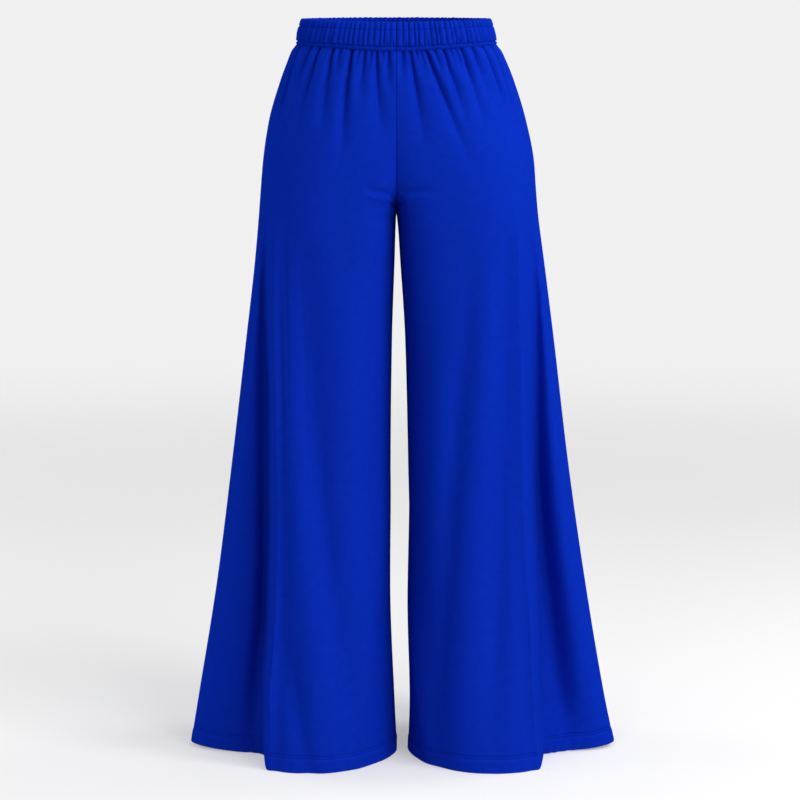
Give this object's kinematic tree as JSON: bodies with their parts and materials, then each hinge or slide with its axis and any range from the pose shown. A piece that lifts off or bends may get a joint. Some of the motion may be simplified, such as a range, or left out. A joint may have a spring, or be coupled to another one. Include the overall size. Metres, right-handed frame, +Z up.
{
  "type": "palazzo pants",
  "caption": "High-waisted wide-leg knit pants with a ribbed elastic waistband, gathers below it and flared, floor-length legs, filled out as worn and open at waist and hems.",
  "frame": {"origin": "middle of the waist opening, at half the waistband's depth, where the wearer holds the pants", "axes": "+Z up through the waist opening, -Y to the front of the garment, +X to the wearer's left"},
  "size_m": [0.6229, 0.3059, 1.0605],
  "materials": {
    "leg_knit": "matte smooth knit with a soft sheen",
    "waistband_knit": "matte gathered knit over elastic"
  },
  "bodies": {
    "root": {"waistband_left": "waistband_knit", "waistband_right": "waistband_knit", "front_left_panel": "leg_knit", "front_right_panel": "leg_knit", "back_left_panel": "leg_knit", "back_right_panel": "leg_knit"}
  },
  "joints": []
}
